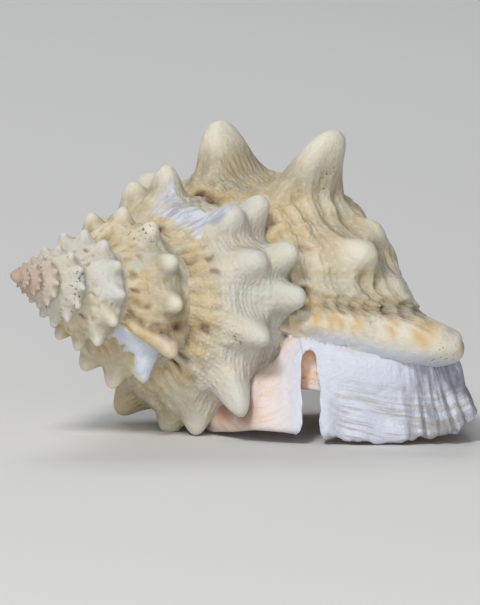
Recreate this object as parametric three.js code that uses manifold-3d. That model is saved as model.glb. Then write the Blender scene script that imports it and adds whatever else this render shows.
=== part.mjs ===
// A frog shell: a thick, knobbed sea shell coiled to the right, with a tall spire, blunt horns on the
// shoulder of the last whorl, old lips left as ridges (varices), and a mouth whose outer lip flares
// into a wide apron. It is one grown piece, so it is one closed solid with its mouth hollowed out.
// Millimetres. The shell lies mouth down, as it does on a table, with the spire towards -X and up.

import * as THREE from "three";
import { mergeVertices } from "three/addons/utils/BufferGeometryUtils.js";
import Module from "manifold-3d";

const wasm = await Module();
wasm.setup();

// Angles run round the axis along the coil, in degrees: 0 is the shell's back, a quarter turn on is
// the lip's side, and each whorl before is 360 less.
const LIP_ANGLE = 97;
const WHORL_GROWTH = 1.495; // each whorl is this much larger than the one before
const WHORLS = 7.25;
const APEX_ANGLE = LIP_ANGLE - 360 * WHORLS;
const LIP_ROUNDING = 6; // degrees past the lip over which its ridge rounds off

// A whorl's outline at the lip's size, as radius from the axis and distance from the apex, from the
// suture out over the shoulder, down the side to the front canal and back along the axis.
const SPIRE_OUTLINE = [
  [13.0, 46.5],
  [21.4, 54.6],
  [25.4, 58.6],
  [28.4, 62.6],
  [30.4, 66.8],
  [31.2, 72.0],
  [31.8, 77.5],
  [31.8, 83.0],
  [29.4, 88.6],
  [25.4, 94.0],
  [20.4, 99.0],
  [15.0, 103.5],
  [10.5, 108.0],
  [7.5, 112.0],
  [5.2, 115.0],
  [1.5, 115.0],
  [0.6, 106.0],
  [0.6, 85.0],
  [0.6, 60.0],
];
const LAST_OUTLINE = [
  [13.0, 47.5],
  [21.4, 54.8],
  [24.4, 58.6],
  [26.6, 62.4],
  [28.4, 66.6],
  [28.4, 72.0],
  [27.2, 77.5],
  [24.6, 83.0],
  [20.8, 88.6],
  [16.6, 94.0],
  [12.8, 99.2],
  [9.8, 103.8],
  [7.6, 108.0],
  [6.0, 111.4],
  [4.6, 114.0],
  [1.5, 114.0],
  [0.6, 106.0],
  [0.6, 85.0],
  [0.6, 60.0],
];
const LIP_OUTLINE = [
  [13.0, 47.5],
  [21.4, 54.8],
  [27.0, 59.0],
  [32.6, 63.6],
  [37.4, 69.4],
  [38.2, 75.4],
  [34.6, 81.6],
  [29.0, 87.4],
  [23.6, 92.8],
  [18.4, 97.6],
  [13.6, 102.2],
  [10.0, 106.4],
  [7.4, 110.0],
  [6.0, 112.6],
  [4.6, 114.6],
  [1.5, 114.6],
  [0.6, 106.0],
  [0.6, 85.0],
  [0.6, 60.0],
];
const SHOULDER = 4; // places along the outlines
const SECOND_ROW = 6;
const THIRD_ROW = 8;

const rad = THREE.MathUtils.degToRad;
const { lerp, smoothstep } = THREE.MathUtils;
const growth = (angle) => WHORL_GROWTH ** ((angle - LIP_ANGLE) / 360);
const bell = (x) => Math.exp(-0.5 * Math.abs(x) ** 2.5);

function closedCurve(outline) {
  const points = outline.map(([r, h]) => new THREE.Vector3(r, h, 0));
  return new THREE.CatmullRomCurve3(points, true, "catmullrom", 0.5);
}
const spireCurve = closedCurve(SPIRE_OUTLINE);
const lastCurve = closedCurve(LAST_OUTLINE);
const lipCurve = closedCurve(LIP_OUTLINE);
const PLACES_ROUND = SPIRE_OUTLINE.length;

// The outline at one angle: the spire's, which turns into the last whorl's, flares at the lip and
// draws in again under the lip's ridge.
function outlineAt(angle, t) {
  const u = (((t / PLACES_ROUND) % 1) + 1) % 1;
  const p = spireCurve.getPoint(u).lerp(lastCurve.getPoint(u), smoothstep(angle, -230, -40));
  const flare = smoothstep(angle, 72, LIP_ANGLE - 2) * (1 - 0.7 * smoothstep(angle, 96, 108));
  return p.lerp(lipCurve.getPoint(u), flare);
}

// Knobs: angle, place along the outline, height, half width round the coil, half width along the
// outline in places, and lean in degrees of coil. Lengths are at the lip's size.
const HORNS = [
  { angle: 92, row: 4.6, height: 5.6, round: 3.2, along: 0.8, lean: 0 },
  { angle: 66, row: SHOULDER, height: 7.0, round: 3.2, along: 0.6, lean: 0 },
  { angle: 28.2, row: SHOULDER, height: 14.5, round: 4.2, along: 0.95, lean: 3 },
  { angle: -9.5, row: SHOULDER, height: 11.2, round: 4.3, along: 0.95, lean: -4 },
  { angle: -48, row: SHOULDER, height: 8.5, round: 4.2, along: 0.8, lean: 0 },
  { angle: -80, row: SHOULDER, height: 7.0, round: 3.8, along: 0.7, lean: 0 },
  { angle: -112, row: SHOULDER, height: 6.4, round: 3.6, along: 0.65, lean: 0 },
  { angle: -363, row: SHOULDER, height: 9.0, round: 3.4, along: 0.6, lean: 0 },
];
const BELOW_HORNS = [-225, -257, -292, -318];
const UNDER_HORNS = [-145, -177, -196];
const SECOND_ROW_BEHIND = [-276, -295, -321];
const VARICES = [97, -143, -363, -592, -812, -1032, -1252, -1472];

function knobs() {
  const list = [...HORNS];
  for (const angle of BELOW_HORNS)
    list.push({ angle, row: SHOULDER, height: 7.0, round: 3.2, along: 0.55, lean: 0 });
  for (const angle of UNDER_HORNS)
    list.push({ angle, row: SHOULDER, height: 4.6, round: 3.2, along: 0.55, lean: 0 });
  for (let angle = -385; angle > APEX_ANGLE; angle -= 30)
    list.push({ angle, row: SHOULDER, height: 4.6, round: 3.0, along: 0.55, lean: 0 });
  for (const angle of SECOND_ROW_BEHIND)
    list.push({ angle, row: SECOND_ROW, height: 6.5, round: 3.0, along: 0.55, lean: 0 });
  for (let angle = 76; angle > -130; angle -= 24)
    list.push({ angle, row: SECOND_ROW, height: 3.0, round: 2.6, along: 0.45, lean: 0 });
  for (let angle = 74; angle > -130; angle -= 24)
    list.push({ angle, row: THIRD_ROW, height: 1.6, round: 2.4, along: 0.45, lean: 0 });
  return list;
}
const KNOBS = knobs();

// How far the surface stands off the plain outline there, at the lip's size, and how far it leans.
function relief(angle, t, radius) {
  let lift = 0;
  let lean = 0;
  for (const k of KNOBS) {
    const x = (rad(angle - k.angle) * radius) / k.round;
    const y = (t - k.row) / k.along;
    if (Math.abs(x) > 4 || Math.abs(y) > 4) continue;
    const rise = k.height * bell(x) * bell(y);
    lift += rise;
    lean += (k.lean * rise) / k.height;
  }
  for (const v of VARICES) {
    const x = (angle - v) / (angle < v ? 6 : 4);
    if (Math.abs(x) < 4) lift += 2.0 * bell(x) * smoothstep(t, 0.6, 1.6) * smoothstep(13 - t, 0, 2);
  }
  return { lift, lean };
}

function around(r, h, angle) {
  return new THREE.Vector3(h, -r * Math.sin(rad(angle)), r * Math.cos(rad(angle)));
}

// A point of the shell's outside, before it is laid down: x along the axis, z up, lip side at -y.
function skin(angle, t) {
  const p = outlineAt(angle, t);
  const next = outlineAt(angle, t + 0.1);
  const out = new THREE.Vector2(next.y - p.y, p.x - next.x).normalize();
  const raised = t > 0.5 && t < 14;
  const { lift, lean } = raised ? relief(angle, t, p.x) : { lift: 0, lean: 0 };
  const s = growth(angle);
  return around((p.x + lift * Math.abs(out.x)) * s, (p.y + lift * out.y * 0.4) * s, angle + lean);
}

// A closed solid from points and triangles.
function solid(points, tris) {
  const vertProperties = new Float32Array(points.flatMap((p) => p.toArray()));
  const build = (list) =>
    new wasm.Manifold(new wasm.Mesh({ numProp: 3, vertProperties, triVerts: new Uint32Array(list) }));
  const made = build(tris);
  if (made.volume() > 0) return made;
  for (let i = 0; i < tris.length; i += 3) [tris[i], tris[i + 1]] = [tris[i + 1], tris[i]];
  return build(tris);
}

function bands(count, n, closed) {
  const tris = [];
  for (let i = 0; i < (closed ? count : count - 1); i++)
    for (let j = 0; j < n; j++) {
      const [a, b] = [i * n + j, i * n + ((j + 1) % n)];
      const [c, d] = [((i + 1) % count) * n + j, ((i + 1) % count) * n + ((j + 1) % n)];
      tris.push(a, b, c, b, d, c);
    }
  return tris;
}

// A solid through rings of points. Each end is closed by a flat face, whose triangles come from the
// ring's own outline, so that two solids that share an end meet face to face.
function loft(rings, flatten) {
  const n = rings[0].length;
  const tris = bands(rings.length, n, false);
  [rings[0], rings.at(-1)].forEach((ring, last) => {
    const outline = ring.map(flatten);
    const turned = THREE.ShapeUtils.isClockWise(outline) !== Boolean(last);
    const start = last * (rings.length - 1) * n;
    for (const [a, b, c] of THREE.ShapeUtils.triangulateShape(outline, []))
      tris.push(start + a, start + (turned ? b : c), start + (turned ? c : b));
  });
  return solid(rings.flat(), tris);
}
const acrossCoil = (p) => new THREE.Vector2(Math.hypot(p.y, p.z), p.x);

const PLACES = [
  0, 1, 1.7, 2.4, 3, 3.5, 4, 4.5, 5, 5.5, 6, 6.5, 7.2, 8, 8.8, 9.8, 11, 12.5, 14, 15, 16.5, 18,
];

// The coil, half a whorl at a time, so that no piece meets itself.
function coil() {
  const pieces = [];
  for (let to = LIP_ANGLE + LIP_ROUNDING; to > APEX_ANGLE; to -= 180) {
    const from = Math.max(to - 180, APEX_ANGLE);
    const whorlsBack = (LIP_ANGLE - to) / 360;
    const steps = Math.ceil((to - from) / (7.2 + 2.6 * whorlsBack));
    const rings = [];
    for (let i = 0; i <= steps; i++) {
      const angle = lerp(from, to, i / steps);
      rings.push(PLACES.map((t) => skin(angle, t)));
    }
    pieces.push(loft(rings, acrossCoil));
  }
  return wasm.Manifold.union(pieces);
}

function spun(profile, steps) {
  const lathe = new THREE.LatheGeometry(profile.map(([r, h]) => new THREE.Vector2(r, h)), steps);
  lathe.rotateZ(-Math.PI / 2);
  lathe.deleteAttribute("normal");
  lathe.deleteAttribute("uv");
  const { attributes, index } = mergeVertices(lathe, 1e-4);
  const points = [];
  for (let i = 0; i < attributes.position.count; i++)
    points.push(new THREE.Vector3().fromBufferAttribute(attributes.position, i));
  const tris = [];
  for (let i = 0; i < index.count; i += 3) {
    const tri = [index.getX(i), index.getX(i + 1), index.getX(i + 2)];
    if (new Set(tri).size === 3) tris.push(...tri);
  }
  return solid(points, tris);
}

// The pillar on the axis that the whorls grow round, and the blunt tip.
const PILLAR = [
  [0, 2], [0.9, 3], [2.2, 20], [3.6, 60], [4.6, 88], [4, 98], [2.8, 107], [1.2, 112.4], [0, 113],
];
const TIP = [[0, 1.4], [0.8, 1.7], [1.3, 2.6], [1.3, 3.6], [0.8, 4.6], [0, 5]];

// The hollow behind the mouth, as outlines at the lip's size: inside the last whorl, and at the lip.
const HOLLOW_INSIDE = [
  [21.6, 60.6],
  [23.6, 64.0],
  [25.2, 68.0],
  [25.2, 73.0],
  [23.8, 78.5],
  [20.8, 84.0],
  [16.8, 89.5],
  [12.8, 94.5],
  [9.6, 99.5],
  [7.6, 104.0],
  [6.4, 107.5],
  [5.6, 107.0],
  [5.4, 100.0],
  [5.6, 92.0],
  [6.4, 84.0],
  [8.2, 78.0],
  [11.4, 73.2],
  [15.4, 69.6],
  [19.2, 65.4],
];
const HOLLOW_MOUTH = [
  [22.6, 60.4],
  [27.0, 64.0],
  [31.6, 69.0],
  [33.4, 74.8],
  [31.0, 80.6],
  [26.0, 86.4],
  [20.8, 92.0],
  [15.8, 97.0],
  [11.4, 101.8],
  [8.6, 106.4],
  [6.8, 111.0],
  [5.4, 112.0],
  [5.2, 104.0],
  [5.4, 95.0],
  [6.0, 86.0],
  [7.6, 79.0],
  [10.8, 73.8],
  [15.2, 70.0],
  [19.4, 65.8],
];
const HOLLOW_START = LIP_ANGLE - 330;
const HOLLOW_END = LIP_ANGLE + 36;

function hollow() {
  const inside = closedCurve(HOLLOW_INSIDE);
  const mouth = closedCurve(HOLLOW_MOUTH);
  const count = 19;
  const ringAt = (angle) => {
    const open = smoothstep(angle, 76, LIP_ANGLE);
    const width = smoothstep(angle, HOLLOW_START - 20, HOLLOW_START + 120);
    const s = growth(angle);
    return Array.from({ length: count }, (_, j) => {
      const p = inside.getPoint(j / count).lerp(mouth.getPoint(j / count), open);
      return around(lerp(17, p.x, width) * s, lerp(80, p.y, width) * s, angle);
    });
  };
  const pieces = [];
  const middle = HOLLOW_START + 180;
  for (const [a, b] of [[HOLLOW_START, middle], [middle, HOLLOW_END]]) {
    const steps = Math.round((b - a) / 12);
    const rings = [];
    for (let i = 0; i <= steps; i++) rings.push(ringAt(lerp(a, b, i / steps)));
    pieces.push(loft(rings, acrossCoil));
  }
  return wasm.Manifold.union(pieces);
}

// The rim round the mouth, station by station: from the rear canal round the outer lip, the front
// canal and the inner lip, back to the rear canal. Each has the place where it is rooted in the
// whorl and the place of its edge, as distance from the apex, towards the lip's side and up, its
// thickness at the root and at the edge, and how far it is filled behind, where it covers the whorl.
const RIM = [
  { root: [56.0, 22.0, 0.0], edge: [56.8, 29.2, -23.0], thick: [3.6, 1.8, 0] },
  { root: [58.5, 25.5, -2.0], edge: [59.6, 31.6, -23.2], thick: [4.2, 1.6, 0] },
  { root: [62.5, 29.5, -2.5], edge: [63.4, 34.8, -23.2], thick: [4.8, 1.5, 0] },
  { root: [68.0, 33.5, -3.0], edge: [69.5, 38.8, -21.8], thick: [5.4, 1.5, 0] },
  { root: [74.0, 35.5, -3.0], edge: [76.0, 42.5, -20.0], thick: [5.4, 1.5, 0] },
  { root: [80.0, 33.5, -3.0], edge: [81.8, 45.0, -17.0], thick: [5.0, 1.5, 0] },
  { root: [86.0, 28.5, -3.0], edge: [89.0, 36.5, -15.0], thick: [4.4, 1.5, 0] },
  { root: [92.0, 22.5, -3.0], edge: [95.5, 28.0, -13.0], thick: [4.0, 1.6, 0] },
  { root: [98.0, 16.5, -3.0], edge: [101.5, 19.5, -10.5], thick: [3.6, 1.6, 0] },
  { root: [104.0, 11.0, -2.5], edge: [107.0, 12.0, -8.5], thick: [3.2, 1.6, 0] },
  { root: [109.5, 7.0, -1.5], edge: [112.5, 6.5, -7.0], thick: [3.0, 1.8, 0] },
  { root: [111.5, 3.5, -1.0], edge: [114.0, 1.5, -6.5], thick: [3.0, 2.0, 0] },
  { root: [107.0, 4.0, -2.0], edge: [108.0, -4.0, -8.0], thick: [3.4, 2.0, 1] },
  { root: [98.0, 4.5, -3.0], edge: [98.5, -7.0, -10.0], thick: [3.8, 2.0, 3] },
  { root: [89.0, 4.8, -3.8], edge: [90.0, -9.5, -12.5], thick: [4.0, 2.0, 5] },
  { root: [81.0, 6.0, -4.6], edge: [81.0, -11.0, -18.0], thick: [4.0, 2.0, 7] },
  { root: [75.0, 8.8, -6.0], edge: [72.5, -10.0, -21.1], thick: [4.0, 2.0, 8] },
  { root: [71.0, 12.0, -7.6], edge: [64.0, -6.5, -22.8], thick: [4.0, 2.0, 7] },
  { root: [68.0, 14.5, -8.8], edge: [56.5, 0.0, -23.8], thick: [4.0, 2.0, 6] },
  { root: [65.0, 16.5, -9.2], edge: [51.5, 7.5, -24.0], thick: [4.0, 2.0, 5] },
  { root: [61.5, 17.8, -8.6], edge: [49.8, 14.5, -23.3], thick: [3.6, 1.8, 3.5] },
  { root: [57.0, 19.0, -6.5], edge: [50.3, 21.0, -22.8], thick: [3.2, 1.6, 1.5] },
  { root: [55.0, 20.5, -3.0], edge: [53.4, 26.0, -22.6], thick: [3.2, 1.6, 0] },
];
const RIM_SECTION = [
  [0, 1], [0.35, 1], [0.7, 1], [0.95, 0.9], [1, 0], [0.95, -0.9], [0.7, -1], [0.35, -1], [0, -1],
];

function rim() {
  const place = ([h, side, up]) => new THREE.Vector3(h, -side, up);
  const loop = (list) => new THREE.CatmullRomCurve3(list, true, "catmullrom", 0.5);
  const roots = loop(RIM.map((s) => place(s.root)));
  const edges = loop(RIM.map((s) => place(s.edge)));
  const thick = loop(RIM.map((s) => new THREE.Vector3(...s.thick)));
  const steps = 48;
  const points = [];
  for (let i = 0; i < steps; i++) {
    const u = i / steps;
    const root = roots.getPoint(u);
    const reach = edges.getPoint(u).sub(root);
    const along = edges.getPoint((u + 0.01) % 1).sub(edges.getPoint((u + 0.99) % 1));
    const back = reach.clone().cross(along).normalize();
    const size = thick.getPoint(u);
    for (const [v, side] of RIM_SECTION) {
      const fill = side > 0 ? 4 * v * (1 - v) * size.z : 0;
      const off = (side * lerp(size.x, size.y, v)) / 2 + fill;
      points.push(root.clone().addScaledVector(reach, v).addScaledVector(back, off));
    }
  }
  return solid(points, bands(steps, RIM_SECTION.length, true));
}

// The rear canal: a slot with an arched top through the rim, as seen from the slot's end. Its outline
// is across the slot and up, and its run is along the slot.
const CANAL_TURN = 44; // degrees from the axis to square across the slot
const CANAL = [
  [59.1, -28], [57.5, -18], [56.4, -11], [56.1, -8.4], [56.9, -6.8], [58.2, -6.8], [59.0, -8.4],
  [59.5, -11], [60.7, -18], [62.1, -28],
];
const CANAL_RUN = [-36, -10];

function canal() {
  const [cos, sin] = [Math.cos(rad(CANAL_TURN)), Math.sin(rad(CANAL_TURN))];
  const rings = CANAL_RUN.map((run) =>
    CANAL.map(([x, up]) => new THREE.Vector3(sin * x - cos * run, -cos * x - sin * run, up)),
  );
  return loft(rings, (p) => new THREE.Vector2(sin * p.x - cos * p.y, p.z));
}

const body = coil().add(spun(PILLAR, 16)).add(spun(TIP, 12));
const whole = body.add(rim()).subtract(hollow()).subtract(canal());

// How it lies, in degrees: turned about its axis, then the spire raised.
const REST_ROLL = -0.3;
const REST_PITCH = 8.9;

function laidDown(solidShape) {
  const { numVert, vertProperties, triVerts } = solidShape.getMesh();
  const geometry = new THREE.BufferGeometry()
    .setAttribute("position", new THREE.BufferAttribute(vertProperties.slice(0, numVert * 3), 3))
    .setIndex(new THREE.BufferAttribute(triVerts, 1))
    .rotateX(rad(REST_ROLL))
    .rotateY(rad(REST_PITCH));
  geometry.computeBoundingBox();
  const { min, max } = geometry.boundingBox;
  return geometry.translate(-(min.x + max.x) / 2, -(min.y + max.y) / 2, -min.z);
}

const [largest] = whole.decompose().sort((a, b) => b.volume() - a.volume());
const mesh = new THREE.Mesh(
  laidDown(largest),
  new THREE.MeshStandardMaterial({ color: 0xd8c8a0, roughness: 0.6, metalness: 0 }),
);
mesh.name = "shell";

const shell = new THREE.Group();
shell.add(mesh);

export default shell;
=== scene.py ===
"""The frog shell's looks: a fine mesh of the shell, its material, and the scene round it."""

import math

import bmesh
import bpy
import numpy as np
from mathutils import Matrix, Vector
from mathutils.geometry import tessellate_polygon
from mathutils.kdtree import KDTree


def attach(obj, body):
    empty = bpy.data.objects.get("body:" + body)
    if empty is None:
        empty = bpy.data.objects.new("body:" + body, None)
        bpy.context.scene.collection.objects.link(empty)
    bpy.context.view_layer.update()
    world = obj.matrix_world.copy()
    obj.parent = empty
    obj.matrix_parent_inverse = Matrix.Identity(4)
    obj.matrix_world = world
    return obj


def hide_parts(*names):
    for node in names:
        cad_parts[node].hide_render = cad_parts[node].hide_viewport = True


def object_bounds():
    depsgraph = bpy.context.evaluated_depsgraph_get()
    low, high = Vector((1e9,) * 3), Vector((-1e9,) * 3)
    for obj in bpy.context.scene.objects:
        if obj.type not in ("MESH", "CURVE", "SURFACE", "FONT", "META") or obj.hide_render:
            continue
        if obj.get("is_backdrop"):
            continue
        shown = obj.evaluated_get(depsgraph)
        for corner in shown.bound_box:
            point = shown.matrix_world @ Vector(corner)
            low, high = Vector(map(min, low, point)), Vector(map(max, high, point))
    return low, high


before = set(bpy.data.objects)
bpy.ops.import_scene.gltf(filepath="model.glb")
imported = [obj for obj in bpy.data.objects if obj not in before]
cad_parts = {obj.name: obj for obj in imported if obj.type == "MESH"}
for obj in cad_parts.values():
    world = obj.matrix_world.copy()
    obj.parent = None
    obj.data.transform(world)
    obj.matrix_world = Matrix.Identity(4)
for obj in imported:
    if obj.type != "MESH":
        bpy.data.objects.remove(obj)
cad_low, cad_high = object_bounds()

# The coil, in millimetres and degrees round the axis, as in the CAD: 0 is the shell's back, a
# quarter turn on is the lip's side, and each whorl before is 360 less.
LIP_ANGLE = 97
WHORL_GROWTH = 1.495
APEX_ANGLE = LIP_ANGLE - 360 * 7.25
LIP_ROUNDING = 6
REST_ROLL = -0.3
REST_PITCH = 8.9
TIP_AT = 1.4
MM_PER_METRE = 1000

# Where the outline turns into that of the last whorl, where it flares to the lip's, and where that
# eases again, and by how much.
LATE = (-230, -40)
FLARE = (77, 93)
FLARE_EASES = (96, 108)
EASING = 0.7

# Outlines of a whorl at the lip's size: radius from the axis and distance from the apex.
SPIRE_OUTLINE = [
    (13.0, 46.5), (21.4, 54.6), (25.4, 58.6), (28.4, 62.6), (30.4, 66.8), (31.2, 72.0), (31.8, 77.5),
    (31.8, 83.0), (29.4, 88.6), (25.4, 94.0), (20.4, 99.0), (15.0, 103.5), (10.5, 108.0), (7.5, 112.0),
    (5.2, 115.0), (1.5, 115.0), (0.6, 106.0), (0.6, 85.0), (0.6, 60.0),
]
LAST_OUTLINE = [
    (13.0, 47.5), (21.4, 54.8), (24.4, 58.6), (26.6, 62.4), (28.4, 66.6), (28.4, 72.0), (27.2, 77.5),
    (24.6, 83.0), (20.8, 88.6), (16.6, 94.0), (12.8, 99.2), (9.8, 103.8), (7.6, 108.0), (6.0, 111.4),
    (4.6, 114.0), (1.5, 114.0), (0.6, 106.0), (0.6, 85.0), (0.6, 60.0),
]
LIP_OUTLINE = [
    (13.0, 47.5), (21.4, 54.8), (27.0, 59.0), (32.6, 63.6), (37.4, 69.4), (38.2, 75.4), (34.6, 81.6),
    (29.0, 87.4), (23.6, 92.8), (18.4, 97.6), (13.6, 102.2), (10.0, 106.4), (7.4, 110.0), (6.0, 112.6),
    (4.6, 114.6), (1.5, 114.6), (0.6, 106.0), (0.6, 85.0), (0.6, 60.0),
]
PLACES_ROUND = len(SPIRE_OUTLINE)
SHOULDER, SECOND_ROW, LOW_ROW, LOWEST_ROW = 4, 6, 5.8, 7.2

# Knobs: angle, row, height, half width round the coil, half width along the outline, lean.
HORNS = [
    (92, 4.6, 5.6, 3.2, 0.8, 0), (66, SHOULDER, 6.0, 2.6, 0.6, 0), (28, SHOULDER, 14.8, 2.9, 0.85, 2),
    (-9, SHOULDER, 10.6, 3.5, 0.85, -4), (-48, SHOULDER, 8.5, 3.6, 0.8, 0),
    (-80, SHOULDER, 7.0, 3.8, 0.7, 0), (-112, SHOULDER, 6.4, 3.6, 0.65, 0),
    (-363, SHOULDER, 9.0, 3.4, 0.6, 0),
]

# The shoulder's knobs below the lip and under the shell: angle, height, half width round the coil.
BELOW_HORNS = [(-225, 11.8, 3.9), (-257, 9.2, 2.9), (-292, 8.6, 3.1), (-318, 8.4, 3.3)]
UNDER_HORNS = [(-145, 5.4, 2.9), (-177, 5.8, 2.6), (-196, 6.2, 2.6)]

# Angles of the spire's knobs, of the second row's, and of the small ones in the two low rows.
SPIRE_KNOBS = np.arange(-385, APEX_ANGLE, -30)
SECOND_ROW_BEHIND = [-276, -295, -321]
LOW_KNOBS = np.arange(77, -130, -24)
LOWEST_KNOBS = np.arange(79, -130, -24)

# A knob higher than the first of these is a slim horn, and one higher than the second the largest.
TALL, TALLEST = 10, 14

# The ridges left by old lips, and half widths in degrees before and after each.
VARICES = [97, -143, -363, -592, -812, -1032, -1252, -1472]
VARIX_BEFORE, VARIX_AFTER = 6, 4

# Where the coil is sunk so that the inner lip covers it: angle and place, half widths and depth.
SUNK_COIL = (-191, 8.2, 26, 1.9, 2.8)

# Millimetres along the surface in a radian round the coil, and in one place along the outline.
ROUND_MM = 26
PLACE_MM = 5.0

# Factors that scatter the corners of the noise.
CORNER_FACTORS = (73856093, 19349663, 83492791)
SEED_FACTOR = 2654435
LAST_FACTOR = 1274126177


def smoothstep(x, a, b):
    u = np.clip((np.asarray(x, float) - a) / (b - a), 0, 1)
    return u * u * (3 - 2 * u)


def bell(x):
    return np.exp(-0.5 * np.abs(x) ** 2.5)


def growth(angle):
    return WHORL_GROWTH ** ((np.asarray(angle, float) - LIP_ANGLE) / 360)


def closed_curve(points, u):
    """Points on the smooth closed curve through these points, at u from 0 to 1 round it."""
    pts = np.array(points, float)
    n = len(pts)
    x = (np.asarray(u, float) % 1) * n
    i = np.floor(x).astype(int)
    w = (x - i)[..., None]
    p0, p1, p2, p3 = (pts[(i + k) % n] for k in (-1, 0, 1, 2))
    t0, t1 = (p2 - p0) / 2, (p3 - p1) / 2
    return p1 + t0 * w + (3 * (p2 - p1) - 2 * t0 - t1) * w**2 + (2 * (p1 - p2) + t0 + t1) * w**3


def value_noise(p, seed):
    """Smooth noise from -1 to 1 at points with three coordinates, one unit apart."""
    p = np.asarray(p, float)
    base = np.floor(p).astype(np.int64)
    f = p - base
    f = f * f * (3 - 2 * f)
    total = 0
    for corner in np.ndindex(2, 2, 2):
        c = base + corner
        h = np.bitwise_xor.reduce(c * CORNER_FACTORS, axis=-1) ^ (seed * SEED_FACTOR)
        h = (h ^ (h >> 13)) * LAST_FACTOR & 0x7FFFFFFF
        value = ((h ^ (h >> 16)) & 0xFFFF) / 32767.5 - 1
        weight = np.prod(np.where(corner, f, 1 - f), axis=-1)
        total = total + value * weight
    return total


def outline_at(angle, t):
    """The plain outline's points, as radius and distance from the apex, at the lip's size."""
    u = t / PLACES_ROUND
    late = smoothstep(angle, *LATE)[..., None]
    flare = (smoothstep(angle, *FLARE) * (1 - EASING * smoothstep(angle, *FLARE_EASES)))[..., None]
    p = closed_curve(SPIRE_OUTLINE, u) * (1 - late) + closed_curve(LAST_OUTLINE, u) * late
    return p * (1 - flare) + closed_curve(LIP_OUTLINE, u) * flare


def knobs():
    """Every knob of the shell. The low row is flatter under the two largest horns."""
    found = list(HORNS)
    found += [(a, SHOULDER, height, wide, 0.62, 0) for a, height, wide in BELOW_HORNS]
    found += [(a, SHOULDER, height, wide, 0.5, 0) for a, height, wide in UNDER_HORNS]
    found += [(a, SHOULDER, 8.3, 3.2, 0.58, 0) for a in SPIRE_KNOBS]
    found += [(a, SECOND_ROW, 9.6, 3.2, 0.6, 0) for a in SECOND_ROW_BEHIND]
    low = lambda a: 0.4 if -30 < a < 40 else 1.0
    found += [(a, LOW_ROW, 3.4 * low(a), 2.6, 0.45, 0) for a in LOW_KNOBS]
    found += [(a, LOWEST_ROW, 2.2, 2.4, 0.4, 0) for a in LOWEST_KNOBS]
    return found


KNOBS = knobs()

# Old lips that still stand on the coil: where each begins, how far it runs on, the places along the
# outline between which it lies, and how white it is.
OLD_LIPS = [
    (-143, 34, 0.8, 9, 1), (-363, 50, 1.7, 3.6, 0.6), (-592, 27, 0.7, 4.6, 1), (-812, 34, 0.9, 5, 0.8),
    (-1032, 62, 1.3, 5.0, 0.5), (-1252, 30, 1, 5, 0.4),
]

# The way that the lip's ridge runs, and where along it, in millimetres, orange stripes cross it.
LIP_LINE = np.array([0.626, -0.775, -0.083])
LIP_STRIPES = [
    (54.6, 0.5), (57.0, 0.7), (58.8, 0.4), (61.4, 0.5), (66.8, 0.4), (70.2, 0.5), (72.0, 0.6), (77, 0.4),
]

# Dark stains, as angle, place along the outline, and half widths in degrees and places.
STAINS = [
    (-250.7, 1.5, 2.2, 0.25), (-599, 6.3, 3.0, 0.3),
    (4, 0.9, 5, 0.22), (-4, 1.1, 3, 0.12), (80, 1.5, 2.0, 0.2), (-340, 0.9, 5, 0.2),
]

# Patches of black specks, as angle, place, and half widths in degrees and places.
SPECKED = [
    (-1330, 4, 60, 1.6), (-252, 3.2, 3, 0.4), (97, 4.4, 3, 0.2), (35, 4.1, 1.6, 0.2),
    (-690, 3.4, 12, 0.8),
]


def knob_rise(x, y, foot):
    """A knob's rise from 0 to 1: a wide foot with a slimmer blunt horn on it."""
    return foot * bell(x * 0.6) * bell(y * 0.6) + (1 - foot) * bell(x * 1.1) * bell(y * 1.05)


def laid_round(r, h, angle):
    """Points at a radius and a distance from the apex, turned round the axis."""
    turn = np.radians(angle)
    return np.stack([h, -r * np.sin(turn), r * np.cos(turn)], -1)


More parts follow.
